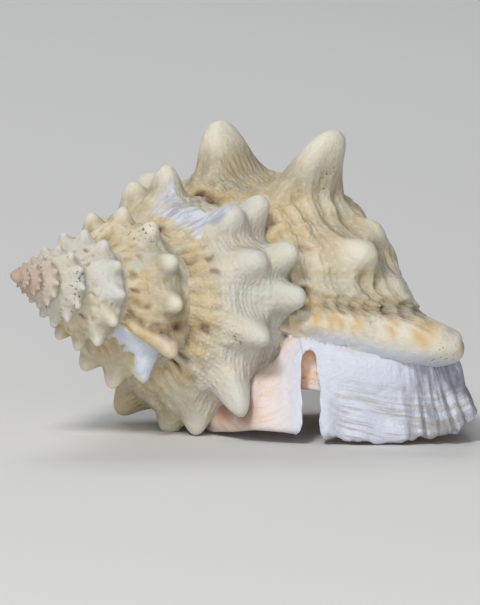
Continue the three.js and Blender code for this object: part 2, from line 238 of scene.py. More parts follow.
def skin(angle, t):
    """Points of the outside at each angle and place, and what the surface is there."""
    angle, t = np.broadcast_arrays(np.asarray(angle, float), np.asarray(t, float))
    p = outline_at(angle, t)
    ahead = outline_at(angle, t + 0.1)
    out = np.stack([ahead[..., 1] - p[..., 1], p[..., 0] - ahead[..., 0]], -1)
    out /= np.linalg.norm(out, axis=-1, keepdims=True)
    shown = ((t > 0.5) & (t < 14)).astype(float)
    lift = np.zeros(angle.shape)
    lean = np.zeros(angle.shape)
    knob = np.zeros(angle.shape)
    fold = np.zeros(angle.shape)
    for at, row, height, wide, along, leaning in KNOBS:
        x = np.radians(angle - at) * p[..., 0] / wide
        if height > TALLEST:
            x = np.where(x < 0, 1.6 * x, 1.1 * x)
        elif height > TALL:
            x = np.where(x > 0, 1.45 * x, 0.95 * x)
        rise = knob_rise(x, (t - row) / along, 0.1 if height > TALL else 0.28) * shown
        lift += height * rise
        lean += leaning * rise
        knob = np.maximum(knob, smoothstep(rise, 0.3, 0.9) * min(1, height / 4.6))
        below = smoothstep(t, row - 2.4, row - 0.6) * (1 - smoothstep(t, row + 1, row + 4.5))
        fold = np.maximum(fold, min(height, 9) / 9 * bell(x * 0.9) * below)
    ridge = np.zeros(angle.shape)
    for v in VARICES:
        x = (angle - v) / np.where(angle < v, VARIX_BEFORE, VARIX_AFTER)
        ridge += bell(x) * smoothstep(t, 0.6, 1.6) * smoothstep(13 - t, 0, 2) * shown
    spire = 1 - smoothstep(angle, -240, -150)
    drawn_in = smoothstep(t, 4.7, 5.8) * (1 - smoothstep(t, 8, 9))
    lift += 2.0 * ridge + 0.5 * fold - spire * (2.4 * drawn_in * (1 - knob) + 1.3 * bell((t - 4) / 0.8))
    s = growth(angle)
    run = laid_round(p[..., 0] * s, p[..., 1] * s, angle) @ LIP_LINE
    fine, marks = relief(angle, t, knob, shown, run)
    sunk_at, sunk_place, sunk_wide, sunk_high, depth = SUNK_COIL
    sunk = depth * bell((angle - sunk_at) / sunk_wide) * bell((t - sunk_place) / sunk_high)
    lift += fine * shown - sunk
    r = (p[..., 0] + lift * np.abs(out[..., 0])) * s
    h = (p[..., 1] + lift * out[..., 1] * 0.4) * s
    return laid_round(r, h, angle + lean), marks


def old_lips(angle, t, length, along):
    """Where an old lip's white sheet lies over the coil, from 0 to 1, with a ragged edge."""
    flat = np.zeros(angle.shape)
    ragged = 5 * value_noise(np.stack([length * 0, along / 1.7, length * 0], -1), 41)
    uneven = 0.35 * value_noise(np.stack([length / 2.2, along * 0, length * 0], -1), 43)
    for v, run, low, high, white in OLD_LIPS:
        past = angle - v
        across = smoothstep(past, 3, 8) * (1 - smoothstep(past + ragged, run - 3, run))
        up = smoothstep(t + uneven, low - 0.2, low + 0.15)
        up = up * (1 - smoothstep(t + uneven, high, high + 0.25))
        flat = np.maximum(flat, white * across * up)
    return flat


def relief(angle, t, knob, shown, run):
    """The low relief: beaded cords along the coil, lumps below the seam, ribs across, old lips."""
    length = np.radians(angle) * ROUND_MM
    along = t * PLACE_MM
    nothing = length * 0
    at = lambda around, up, shift=0.0: np.stack([length / around, along / up, nothing + shift], -1)
    sheet = old_lips(angle, t, length, along)
    on_lip = smoothstep(t, 0.8, 1.4) * (1 - smoothstep(t, 7.5, 9))
    lip_roll = smoothstep(angle, 85.8, 89.5) * on_lip
    plain = (1 - 0.85 * smoothstep(knob, 0.05, 0.6)) * (1 - 0.7 * sheet)

    # beaded cords and a grain
    wander = value_noise(at(9, 7), 3)
    cords = np.cos(2 * np.pi * (along / 2.9 + 0.7 * wander))
    beads = np.cos(2 * np.pi * (length / 2.8 + 0.8 * value_noise(at(9, 4), 4)))
    grain = value_noise(at(1.8, 1.5), 25)
    fine = (0.08 * cords + 0.13 * beads * (0.5 + 0.5 * cords) + 0.24 * grain) * plain

    # lumps below the seam in two alternate rows, fewer in a whorl before the switch
    switch = -400
    count = np.where(angle < switch, 24.0, 34.0)
    drift = 0.35 * value_noise(at(12, 30), 6)
    phase = (angle - switch) / 360 * count + drift + 0.3 * value_noise(at(5, 2.5), 27)
    wave = 0.5 + 0.5 * np.cos(2 * np.pi * phase)
    lumps = bell((t - 1.6) / 0.45) * wave**1.2 + 0.75 * bell((t - 2.6) / 0.42) * (1 - wave) ** 1.2
    lumps = lumps * (1 - 0.8 * sheet) * (0.75 + 0.45 * value_noise(at(6, 3), 23))
    fine = fine + 1.1 * lumps

    # ribs across, folds on the last whorl, old lips, a dip between the two horns, and a raised cord
    ribs = 1 - 2 * np.abs(value_noise(at(2.7, 22), 5))
    trailing = bell((angle + 335) / 32) * bell((t - 2.8) / 1.3)
    folds = np.cos(2 * np.pi * (along / 4.3 + 0.5 * value_noise(at(16, 5), 29)))
    folds = folds * smoothstep(angle, 18, 34) * (1 - smoothstep(angle, 80, 84)) * bell((t - 5) / 2.6)
    fine = fine + 0.5 * folds * plain
    ribbed = smoothstep(t, 1.4, 2.6) * (1 - smoothstep(t, 7, 10))
    fine = fine + (0.3 + 0.75 * trailing) * ribs * ribbed * plain
    fine = fine + 0.55 * value_noise(at(8, 6), 8) * (1 - 0.5 * sheet)
    fine = fine + 0.9 * sheet
    fine = fine - 3.2 * bell((angle - 12) / 10) * bell((t - 3.8) / 1.7)
    cord_ends = smoothstep(t, 0.8, 1.3) * (1 - smoothstep(t, 6.2, 6.8))
    cord = bell((angle + 595 + 1.5 * (t - 3)) / 4.6) * cord_ends
    fine = fine + 2.6 * cord

    # the lip's roll, with scallops and a groove before it
    scallops = np.cos(2 * np.pi * (run / 2.5 + 0.5 * value_noise(at(90, 5), 12)))
    near_lip = bell((angle - 87) / 4.5) * on_lip
    groove = bell((angle - 84.8) / 2.4) * on_lip
    roll_height = 1.9 * lip_roll * (1 - 0.8 * smoothstep(angle, 95.5, 101))
    fine = fine + roll_height + 0.7 * scallops * near_lip - 1.5 * groove
    fine = fine + 0.5 * value_noise(at(2.5, 2.5), 14) * lip_roll
    fine = fine + 0.5 * value_noise(at(1.2, 1.2), 15) * near_lip

    # pits, stains, stripes, specks, and where the inner lip covers the coil
    between = (1 - wave) ** 2
    pit = bell((t - 1.0) / 0.3) * between + 0.8 * bell((t - 2.1) / 0.25) * between
    pit = pit * (0.15 + 1.0 * value_noise(at(9, 5), 17))
    pit = np.maximum(pit, 1.1 * bell((angle + 603 + 1.5 * (t - 3)) / 2.6) * bell((t - 3.6) / 1.9))
    uneven = 0.6 + 0.8 * value_noise(at(60, 2.7), 19)
    gaps = (0.45 - 0.75 * scallops) * smoothstep(5.5 - t, 0, 1)
    pit = np.maximum(pit, bell((angle - 86.4) / 1.8) * on_lip * gaps * uneven)
    for a, place, wide, high in STAINS:
        pit = np.maximum(pit, 1.3 * bell((angle - a) / wide) * bell((t - place) / high))
    stripe_and_shadow = np.zeros(angle.shape)
    for at_run, wide in LIP_STRIPES:
        stripe_and_shadow = np.maximum(stripe_and_shadow, bell((run + 0.8 * value_noise(at(3, 3), 18) - at_run) / wide))
    stripe_and_shadow = stripe_and_shadow * (1 - smoothstep(angle, 92, 98)) * lip_roll + 0.35 * cord
    stripe_and_shadow = stripe_and_shadow + 0.5 * bell((angle + 143) / 12) * bell((t - 3.6) / 1.2)
    pit = np.clip(pit, 0, 1) * (1 - sheet)
    fine = fine - 0.7 * pit * shown
    speck = np.zeros(angle.shape)
    for a, place, wide, high in SPECKED:
        speck = np.maximum(speck, bell((angle - a) / wide) * bell((t - place) / high))
    # The relief's low parts, which the material darkens as painted shade in the crevices.
    low = smoothstep(-fine, -0.9, 0.7) * (1 - knob) * (1 - lip_roll)
    covered = smoothstep(bell((angle + 197) / 14) * bell((t - 8.6) / 1.1), 0.3, 0.5)
    marks = {
        "callus": covered, "reach": covered,
        "knob": knob, "pit": pit, "low": low, "lump": lumps, "sheet": sheet,
        "lip": lip_roll, "stripe_and_shadow": stripe_and_shadow, "speck": speck, "around": length, "along": along,
    }
    return fine, marks


class Solid:
    """A closed mesh of points and faces, with what the surface is at each point."""

    def __init__(self, points, faces, marks):
        self.points = np.asarray(points, float).reshape(-1, 3)
        self.faces = faces
        self.marks = marks


def end_faces(ring_2d, indices, turned):
    """Triangles that close the end of a solid, from its ring laid flat."""
    tris = tessellate_polygon([[(float(x), float(y), 0.0) for x, y in ring_2d]])
    if turned:
        return [(indices[a], indices[c], indices[b]) for a, b, c in tris]
    return [(indices[a], indices[b], indices[c]) for a, b, c in tris]


def faces_between(index, after):
    """Faces with four corners between each ring of points and the ring after it."""
    quads = np.stack([index, np.roll(index, -1, 1), np.roll(after, -1, 1), after], -1)
    return [tuple(map(int, quad)) for quad in quads.reshape(-1, 4)]


def loft(rings, flatten, marks):
    """A solid through rings of points, closed by a flat face at each end."""
    count, n = rings.shape[:2]
    index = np.arange(count * n).reshape(count, n)
    faces = faces_between(index[:-1], index[1:])
    faces += end_faces(flatten(rings[0]), index[0].tolist(), True)
    faces += end_faces(flatten(rings[-1]), index[-1].tolist(), False)
    return Solid(rings, faces, marks)


def across_coil(ring):
    """A ring laid flat as radius and distance from the apex."""
    return np.stack([np.hypot(ring[:, 1], ring[:, 2]), ring[:, 0]], -1)


# The places of an outline's points, closer together on the side that the relief covers.
PLACES = np.concatenate(
    [[0], np.arange(0.8, 7.6, 1 / 7), np.arange(7.6, 13.5, 1 / 4), [14, 15, 16.5, 18]]
)

# Degrees between outlines in each half whorl from the lip back, the last number for all the rest.
COIL_STEPS = (1.15, 1.15, 1.5, 1.5, 2.2, 2.2, 2.2, 4.5)

# Where the closer outlines near the lip begin, and how many there are.
NEAR_LIP = 78
OUTLINES_NEAR_LIP = 48


def coil():
    """The coil as closed half whorls, from the lip back to the apex."""
    pieces = []
    to = LIP_ANGLE + LIP_ROUNDING
    half = 0
    while to > APEX_ANGLE:
        start = max(to - 180, APEX_ANGLE)
        step = COIL_STEPS[min(half, len(COIL_STEPS) - 1)]
        angles = np.linspace(start, to, math.ceil((to - start) / step) + 1)
        if half == 0:
            near_lip = np.linspace(NEAR_LIP, to, OUTLINES_NEAR_LIP)
            angles = np.concatenate([angles[angles < NEAR_LIP], near_lip])
        points, marks = skin(angles[:, None], PLACES[None, :])
        pieces.append(loft(points, across_coil, marks))
        to -= 180
        half += 1
    return pieces


def spun(profile, steps):
    """A solid spun round the axis from radii and distances from the apex, with its ends on the axis."""
    turns = np.linspace(0, 2 * np.pi, steps, endpoint=False)
    rings = np.array(
        [[(h, r * math.cos(a), r * math.sin(a)) for a in turns] for r, h in profile[1:-1]]
    )
    count = len(rings)
    index = np.arange(count * steps).reshape(count, steps)
    first, last = count * steps, count * steps + 1
    faces = faces_between(index[:-1], index[1:])
    for j in range(steps):
        k = (j + 1) % steps
        faces.append((first, int(index[0, k]), int(index[0, j])))
        faces.append((last, int(index[-1, j]), int(index[-1, k])))
    points = np.concatenate([rings.reshape(-1, 3), [[profile[0][1], 0, 0], [profile[-1][1], 0, 0]]])
    return Solid(points, faces, {})


# The pillar inside the coil and the blunt tip, as radius and distance from the apex, and how many
# points go round each.
PILLAR = [
    (0.9, 3), (2.2, 20), (3.6, 60), (4.6, 72), (6.2, 79), (7.4, 84), (7.6, 88), (7.0, 93), (6.0, 98),
    (4.9, 103), (3.7, 108), (2.5, 111.5), (1.2, 113),
]
TIP = [(0, TIP_AT), (0.8, 1.7), (1.3, 2.6), (1.3, 3.6), (0.8, 4.6), (0, 5)]
PILLAR_POINTS = 72
TIP_POINTS = 16

# How far the pillar's shown end stands off the axis, in millimetres.
PILLAR_ASIDE = np.array([0, 1.6, 2.0])


def column():
    """The pillar inside the coil, which swells into the rounded back of the front canal."""
    heights = np.arange(3, 113.2, 0.9)
    radii = np.interp(heights, [h for r, h in PILLAR], [r for r, h in PILLAR])
    solid = spun([(0, 2), *zip(radii, heights), (0, 113.6)], PILLAR_POINTS)
    p = solid.points
    turn = np.arctan2(p[:, 2], p[:, 1])
    shown = smoothstep(p[:, 0], 76, 88)
    grain = np.stack([p[:, 0] / 2.2, np.cos(turn) * 2.5, np.sin(turn) * 2.5], -1)
    rise = 0.35 * value_noise(grain, 51) + 0.2 * np.cos(2 * np.pi * (p[:, 0] / 2.6 + 0.6 * turn))
    above = smoothstep(p[:, 2], -2, 0.5)
    p += (shown * above * rise)[:, None] * np.stack([p[:, 0] * 0, np.cos(turn), np.sin(turn)], -1)
    aside = shown * (1 - 0.8 * smoothstep(p[:, 0], 92, 112))
    p += aside[:, None] * PILLAR_ASIDE
    solid.marks = {
        "around": turn * 8, "along": p[:, 0] * 0.9, "callus": 1 - above, "reach": shown * 0.8,
    }
    return solid


# The mouth's hollow as outlines at the lip's size, far in and where it opens, the point to which it
# narrows at its start, where it starts and ends, and how many outlines and points it has.
HOLLOW_INSIDE = [
    (21.6, 60.6), (23.6, 64.0), (25.2, 68.0), (25.2, 73.0), (23.8, 78.5), (20.8, 84.0), (16.8, 89.5),
    (12.8, 94.5), (9.6, 99.5), (7.6, 104.0), (6.4, 107.5), (5.6, 107.0), (5.4, 100.0), (5.6, 92.0),
    (6.4, 84.0), (8.2, 78.0), (11.4, 73.2), (15.4, 69.6), (19.2, 65.4),
]
HOLLOW_MOUTH = [
    (22.6, 60.4), (27.0, 64.0), (31.6, 69.0), (33.4, 74.8), (31.0, 80.6), (26.0, 86.4), (20.8, 92.0),
    (15.8, 97.0), (11.4, 101.8), (8.6, 106.4), (6.8, 111.0), (5.4, 112.0), (5.2, 104.0), (5.4, 95.0),
    (6.0, 86.0), (7.6, 79.0), (10.8, 73.8), (15.2, 70.0), (19.4, 65.8),
]
HOLLOW_NARROWS_TO = np.array([17, 80])
HOLLOW_START = LIP_ANGLE - 330
HOLLOW_END = LIP_ANGLE + 36
HOLLOW_OUTLINES = 70
HOLLOW_POINTS = 76


def hollow():
    """The mouth's hollow, in two halves that are cut out one after the other."""
    u = np.arange(0, 1, 1 / HOLLOW_POINTS)
    pieces = []
    middle = HOLLOW_START + 180
    for a, b in ((HOLLOW_START, middle), (middle, HOLLOW_END)):
        angle = np.linspace(a, b, HOLLOW_OUTLINES)[:, None]
        opened = smoothstep(angle, 76, LIP_ANGLE)[..., None]
        width = smoothstep(angle, HOLLOW_START - 20, HOLLOW_START + 120)[..., None]
        p = closed_curve(HOLLOW_INSIDE, u)[None] * (1 - opened)
        p = p + closed_curve(HOLLOW_MOUTH, u)[None] * opened
        p = (HOLLOW_NARROWS_TO * (1 - width) + p * width) * growth(angle)[..., None]
        rings = laid_round(p[..., 0], p[..., 1], angle)
        pieces.append(loft(rings, across_coil, {"inside": np.ones(rings.shape[:2])}))
    return pieces


# The rim, station by station: where it is rooted, its edge, and its thickness at the root and edge
# and how far it is filled behind. Places are distance from the apex, towards the lip's side, and up.
RIM = [
    ((56.0, 22.0, 0.0), (56.8, 29.2, -23.0), (3.6, 1.8, 0)),
    ((58.5, 25.5, -2.0), (59.6, 31.6, -23.2), (4.2, 1.6, 0)),
    ((62.5, 29.5, -2.5), (63.4, 34.8, -23.2), (4.8, 1.5, 0)),
    ((68.0, 33.5, -3.0), (69.5, 38.8, -21.8), (5.4, 1.5, 0)),
    ((74.0, 35.5, -3.0), (76.0, 42.5, -20.0), (5.4, 1.5, 0)),
    ((80.0, 33.5, -3.0), (81.8, 45.0, -17.0), (5.0, 1.5, 0)),
    ((86.0, 28.5, -3.0), (89.0, 36.5, -15.0), (4.4, 1.5, 0)),
    ((92.0, 22.5, -3.0), (95.5, 28.0, -13.0), (4.0, 1.6, 0)),
    ((98.0, 16.5, -3.0), (101.5, 19.5, -10.5), (3.6, 1.6, 0)),
    ((104.0, 11.0, -2.5), (107.0, 12.0, -8.5), (3.2, 1.6, 0)),
    ((109.5, 7.0, -1.5), (112.5, 6.5, -7.0), (3.0, 1.8, 0)),
    ((111.5, 3.5, -1.0), (114.0, 1.5, -6.5), (3.0, 2.0, 0)),
    ((107.0, 4.0, -2.0), (108.0, -4.0, -8.0), (3.4, 2.0, 1)),
    ((98.0, 4.5, -3.0), (98.5, -7.0, -10.0), (3.8, 2.0, 3)),
    ((89.0, 4.8, -3.8), (90.0, -9.5, -12.5), (4.0, 2.0, 5)),
    ((81.0, 6.0, -4.6), (81.0, -11.0, -18.0), (4.0, 2.0, 7)),
    ((75.0, 8.8, -6.0), (72.5, -10.0, -21.1), (4.0, 2.0, 8)),
    ((71.0, 12.0, -7.6), (64.0, -6.5, -22.8), (4.0, 2.0, 7)),
    ((68.0, 14.5, -8.8), (56.5, 0.0, -23.8), (4.0, 2.0, 6)),
    ((65.0, 16.5, -9.2), (51.5, 7.5, -24.0), (4.0, 2.0, 5)),
    ((61.5, 17.8, -8.6), (49.8, 14.5, -23.3), (3.6, 1.8, 3.5)),
    ((57.0, 19.0, -6.5), (50.3, 21.0, -22.8), (3.2, 1.6, 1.5)),
    ((55.0, 20.5, -3.0), (53.4, 26.0, -22.6), (3.2, 1.6, 0)),
]

# Points on each face of the rim from the root to the edge, and how many outlines follow each station
# of the table: many up to the ninth station, which the photo shows, and fewer after it.
RIM_FACE = 26
CLOSE_UNTIL = 9
CLOSE_OUTLINES = 32
OTHER_OUTLINES = 9

# The rear canal: a slot with an arched top through the rim, as seen from the slot's end. Its outline
# is across the slot and up, and its run is along the slot.
CANAL_TURN = 44
CANAL = [
    (53.5, -28), (56.4, -23.4), (57.5, -22.0), (57.8, -20.6), (57.5, -18.6), (57.3, -16.6), (56.6, -14),
    (56.4, -11), (56.1, -9.2), (56.2, -8.0), (56.7, -7.1), (57.5, -6.7), (58.3, -7.1), (58.8, -8.0),
    (59.0, -9.2), (59.4, -11), (60.3, -13.4), (60.4, -15.6), (60.9, -17.6), (60.8, -19.6), (61.3, -21.6),
    (62.2, -23.4), (64.5, -28),
]
CANAL_RUN = (-36, -10)
CANAL_COS, CANAL_SIN = math.cos(math.radians(CANAL_TURN)), math.sin(math.radians(CANAL_TURN))

# The slot's half width and middle at some heights, for the thicker edge round it, and how far along the
# slot that edge begins.
CANAL_HEIGHTS = [-28, -18, -11, -8.4, -6.8]
CANAL_HALF_WIDTHS = [1.5, 1.6, 1.55, 1.45, 0.65]
CANAL_MIDDLES = [60.6, 59.1, 57.95, 57.55, 57.55]
CANAL_EDGE_FROM = -45

# Painted shadow: brown spots on the rim beside the lowest knobs, where those knobs shade it; their
# places in millimetres as the shell lies, and their size.
PAINTED_SHADOW_SPOTS = [((-11.4, -3.5, 5.3), 2.6), ((-11.8, -9.6, 5.2), 2.0)]


def across_canal(p):
    """Points as seen along the slot: across it and up."""
    return np.stack([CANAL_SIN * p[..., 0] - CANAL_COS * p[..., 1], p[..., 2]], -1)


def in_canal(across, run, up):
    """Points from their places across the slot, along it and up."""
    side = -CANAL_COS * across - CANAL_SIN * run
    return np.stack([CANAL_SIN * across - CANAL_COS * run, side, across * 0 + up], -1)


def canal_edge(p, reach):
    """How near a point is to the slot's edge, from 0 to 1."""
    across, up = np.moveaxis(across_canal(p), -1, 0)
    middle = np.interp(up, CANAL_HEIGHTS, CANAL_MIDDLES)
    off = np.abs(across - middle) - np.interp(up, CANAL_HEIGHTS, CANAL_HALF_WIDTHS)
    above = np.maximum(up - CANAL_HEIGHTS[-1], 0)
    run = -(CANAL_COS * p[..., 0] + CANAL_SIN * p[..., 1])
    near = bell(np.hypot(np.maximum(off, 0), above) / reach)
    return near * (off > -4) * (run > CANAL_EDGE_FROM)


def canal():
    """The slot itself, which is cut out."""
    across, up = np.array(CANAL).T
    rings = np.array([in_canal(across, run, up) for run in CANAL_RUN])
    return loft(rings, across_canal, {"canal": np.ones(rings.shape[:2])})


def canal_wall():
    """The wall behind the slot's arch, hollowed towards the slot."""
    turn = np.linspace(0, 2 * np.pi, 48, endpoint=False)
    squared = lambda x: np.sign(x) * np.abs(x) ** 0.6
    rings = []
    for up in np.linspace(-1, -14.2, 24):
        across = 57.6 + 4.6 * squared(np.cos(turn))
        front = np.sin(turn) > 0
        scooped = 1.6 * front * bell((across - 57.8) / 1.5)
        run = -26.5 + 1.6 * squared(np.sin(turn)) - scooped + 0.05 * (up + 14)
        rings.append(in_canal(across, run, up))
    rings = np.array(rings)

    def flatten(ring):
        along = CANAL_COS * ring[:, 0] + CANAL_SIN * ring[:, 1]
        return np.stack([across_canal(ring)[:, 0], along], -1)

    return loft(rings, flatten, {"canal": np.ones(rings.shape[:2])})


def rim():
    """The lip's flare round the mouth: the apron outside, and the inner lip spread over the coil."""
    place = lambda column: [(h, -side, up) for h, side, up in (s[column] for s in RIM)]
    close = np.arange(0, CLOSE_UNTIL, 1 / CLOSE_OUTLINES)
    others = np.arange(CLOSE_UNTIL, len(RIM) - 0.001, 1 / OTHER_OUTLINES)
    station = np.concatenate([close, others])
    u = station / len(RIM)
    root = closed_curve(place(0), u)
    edge = closed_curve(place(1), u)
    hidden = np.maximum(smoothstep(station, 20.6, 22), 1 - smoothstep(station, 0.4, 1.3))
    root = root + hidden[:, None] * np.array([0.8, 2.2, 0])
    size = closed_curve([s[2] for s in RIM], u)
    along = closed_curve(place(1), u + 0.01) - closed_curve(place(1), u - 0.01)
    outer = smoothstep(station, 0.1, 0.6) * (1 - smoothstep(station, 10, 12))
    fluted = smoothstep(station, 2.6, 4.0) * (1 - smoothstep(station, 10, 11.5))
    line = lambda unit, seed: value_noise(np.stack([station / unit, u * 0, u * 0], -1), seed)
    ragged = 0.5 + 0.5 * line(0.16, 21) * (0.5 + 0.5 * fluted) + 0.35 * line(0.5, 22)
    edge = edge - (edge - root) * (0.05 * ragged * outer)[:, None]
    reach = edge - root
    back = np.cross(reach, along)
    back /= np.linalg.norm(back, axis=-1, keepdims=True)

    # both faces from root to edge, and how far each point is off the middle between them
    v_out = np.linspace(0, 1, RIM_FACE) ** 0.9
    v = np.concatenate([v_out * 0.985, [1.0], v_out[::-1] * 0.985])[None, :]
    side = np.concatenate([np.ones(RIM_FACE), [0.0], -np.ones(RIM_FACE)])[None, :]
    side = side * np.where(v > 0.95, 0.8, 1.0)
    thick = size[:, :1] * (1 - v) + size[:, 1:2] * v
    off = side * thick / 2 + np.where(side > 0, 4 * v * (1 - v) * size[:, 2:3], 0)
    length = np.linalg.norm(reach, axis=-1)[:, None] * v
    st = station[:, None]
    grain = lambda a, b, shift=0.0: np.stack(np.broadcast_arrays(st / a, length / b, 0 * v + shift), -1)
    bands = value_noise(grain(1.4, 1.1), 31) * smoothstep(v, 0.4, 0.75)
    flutes = np.cos(2 * np.pi * st * 2.6 + 2.4 * value_noise(grain(1.2, 14), 33))
    wave = np.cos(2 * np.pi * st * 0.9 + 1)
    off = off + 0.26 * bands * outer[:, None] * np.sign(side)
    off = off + 0.62 * flutes * smoothstep(v, 0.15, 0.8) * fluted[:, None]
    off = off + 0.35 * wave * smoothstep(v, 0.3, 1) * outer[:, None]
    off = off + 0.2 * value_noise(grain(0.8, 5), 35) * (1 - outer[:, None])
    under_roll = smoothstep(st, 0.8, 2.0) * (1 - smoothstep(st, 6.5, 8.5))
    off = off + 1.3 * under_roll * bell((v - 0.32) / 0.16) * (side > 0)
    on_coil = np.maximum(1 - smoothstep(st, 9, 11), smoothstep(st, 20, 21.5))
    sunk = on_coil * (1 - smoothstep(v, 0.02, 0.24)) * (side > 0)
    off = off * (1 - sunk) - 0.8 * sunk
    rings = root[:, None] + reach[:, None] * v[..., None] + back[:, None] * off[..., None]
    collar = canal_edge(rings, 1.5)
    rings = rings + back[:, None] * (0.9 * collar * np.sign(side))[..., None]

    # the faces go right round, and the marks say what each part is
    steps, n = rings.shape[:2]
    index = np.arange(steps * n).reshape(steps, n)
    faces = faces_between(index, np.roll(index, -1, 0))
    full = np.ones(rings.shape[:2])
    by_canal = np.maximum(smoothstep(st, 20.5, 21.5), 1 - smoothstep(st, 1, 2))
    bare = 1 - by_canal * (1 - smoothstep(v, 0.06, 0.16)) * (side > 0)
    # Painted shadow: brown spots beside the lowest knobs, which the material paints on the inner lip.
    painted_shadow = np.zeros(rings.shape[:2])
    for spot, wide in PAINTED_SHADOW_SPOTS:
        away = np.linalg.norm(to_world(rings) * MM_PER_METRE - np.array(spot), axis=-1)
        painted_shadow = np.maximum(painted_shadow, bell(away / wide))
    marks = {
        # On the rim the stripes' mark holds only the painted shadow beside the lowest knobs.
        "stripe_and_shadow": painted_shadow,
        "apron": outer[:, None] * bare,
        "callus": (1 - outer[:, None]) * bare,
        "reach": v * full,
        "flute": fluted[:, None] * full,
        "collar": canal_edge(rings, 3.0) * bare,
        "inside": (side < 0) * full,
        "around": st * 5 * full,
        "along": length * full,
    }
    return Solid(rings, faces, marks)


# How the shell lies, and where the CAD has it: the coil's tip is put on the tip of the CAD's shell.
pitched = Matrix.Rotation(math.radians(REST_PITCH), 3, "Y")
rolled = Matrix.Rotation(math.radians(REST_ROLL), 3, "X")
REST = np.array(pitched @ rolled)
cad_points = np.array([v.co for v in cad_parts["shell"].data.vertices], float)
cad_tip = cad_points[np.argmin((cad_points @ REST)[:, 0])]
REST_OFFSET = cad_tip - REST @ np.array([TIP_AT, 0, 0]) / MM_PER_METRE


def to_world(points):
    """Points of the coil, in millimetres, as they lie in the scene, in metres."""
    return np.asarray(points, float) @ REST.T / MM_PER_METRE + REST_OFFSET


def mesh_object(name, solid):
    """An object of a solid, with its faces turned outwards."""
    mesh = bpy.data.meshes.new(name)
    mesh.from_pydata(to_world(solid.points).tolist(), [], solid.faces)
    mesh.update()
    obj = bpy.data.objects.new(name, mesh)
    bpy.context.scene.collection.objects.link(obj)
    if signed_volume(mesh) < 0:
        mesh.flip_normals()
    return obj


def signed_volume(mesh):
    """The volume inside a mesh, which is negative where its faces point inwards."""
    mesh.calc_loop_triangles()
    tri = np.zeros(len(mesh.loop_triangles) * 3, int)
    mesh.loop_triangles.foreach_get("vertices", tri)
    co = np.zeros(len(mesh.vertices) * 3)
    mesh.vertices.foreach_get("co", co)
    a, b, c = co.reshape(-1, 3)[tri.reshape(-1, 3)].transpose(1, 0, 2)
    return float(np.einsum("ij,ij->i", a, np.cross(b, c)).sum() / 6)


def combine(target, other, operation):
    """Joins other into target, or cuts it from target, and removes other."""
    modifier = target.modifiers.new("combine", "BOOLEAN")
    modifier.operation = operation
    modifier.solver = "MANIFOLD"
    modifier.object = other
    graph = bpy.context.evaluated_depsgraph_get()
    made = bpy.data.meshes.new_from_object(target.evaluated_get(graph))
    target.modifiers.clear()
    old = target.data
    target.data = made
    bpy.data.meshes.remove(old)
    bpy.data.meshes.remove(other.data)


# What the surface is at a point, for the material. Each mark runs from about 0 to 1, apart from
# "around" and "along", which are millimetres round the coil and along the outline.
# The "low" mark is darkened by the material as painted shade in the relief's crevices.
# The stripes' mark is the coil's real stripes, and on the rim painted shadow beside the lowest knobs.
MARKS = (
    "knob", "pit", "low", "lump", "sheet", "lip", "stripe_and_shadow", "speck", "around", "along", "apron",
    "callus", "reach", "flute", "collar", "inside", "canal",
)

# The tip's place round the coil, so that it has the colours of the first whorls.
TIP_AROUND = -1100.0

blunt_tip = spun(TIP, TIP_POINTS)
blunt_tip.marks["around"] = np.full(len(blunt_tip.points), TIP_AROUND)
solids = [*coil(), column(), blunt_tip, rim()]
cuts = [*hollow(), canal()]
late = [canal_wall()]
shell = mesh_object("shell_skin", solids[0])
for i, solid in enumerate(solids[1:]):
    combine(shell, mesh_object(f"piece_{i}", solid), "UNION")
for i, solid in enumerate(cuts):
    combine(shell, mesh_object(f"cut_{i}", solid), "DIFFERENCE")
for i, solid in enumerate(late):
    combine(shell, mesh_object(f"late_{i}", solid), "UNION")


def drop_crumbs(obj):
    """Keeps the largest connected part of the mesh, and drops the crumbs that the joining leaves."""
    mesh = bmesh.new()
    mesh.from_mesh(obj.data)
    parts = []
    unseen = set(mesh.verts)
    while unseen:
        start = unseen.pop()
        part = [start]
        for vertex in part:
            for edge in vertex.link_edges:
                other = edge.other_vert(vertex)
                if other in unseen:
                    unseen.discard(other)
                    part.append(other)
        parts.append(part)
    parts.sort(key=len)
    crumbs = [vertex for part in parts[:-1] for vertex in part]
    bmesh.ops.delete(mesh, geom=crumbs, context="VERTS")
    mesh.to_mesh(obj.data)
    mesh.free()


drop_crumbs(shell)


def mark_points(obj):
    """Gives each point of the joined mesh the marks of the nearest point that it was made from."""
    every = [*solids, *cuts, *late]
    count = sum(len(s.points) for s in every)
    tree = KDTree(count)
    values = np.zeros((count, len(MARKS)), np.float32)
    k = 0
    for solid in every:
        world = to_world(solid.points)
        for j, name in enumerate(MARKS):
            if name in solid.marks:
                values[k : k + len(world), j] = np.asarray(solid.marks[name], float).reshape(-1)
        for i, p in enumerate(world.tolist()):
            tree.insert(p, k + i)
        k += len(world)
    tree.balance()
    nearest = np.array([tree.find(v.co)[1] for v in obj.data.vertices])
    for j, name in enumerate(MARKS):
        attribute = obj.data.attributes.new(name, "FLOAT", "POINT")
        attribute.data.foreach_set("value", values[nearest, j])


mark_points(shell)

# The few points that would lie under the floor are pressed up to it.
for vertex in shell.data.vertices:
    vertex.co.z = max(vertex.co.z, 0)
shell.data.polygons.foreach_set("use_smooth", [True] * len(shell.data.polygons))


def paint(red, green, blue):
    """A colour given from 0 to 255 as it looks, turned into linear light."""
    return tuple(((c / 255 + 0.055) / 1.055) ** 2.4 for c in (red, green, blue))


# The shell's colours.
CREAM = paint(222, 213, 188)
GREY = paint(190, 188, 174)
TAN = paint(205, 184, 138)
ORANGE = paint(192, 150, 92)
AMBER = paint(204, 168, 102)
BROWN = paint(92, 50, 20)
IVORY = paint(226, 220, 203)
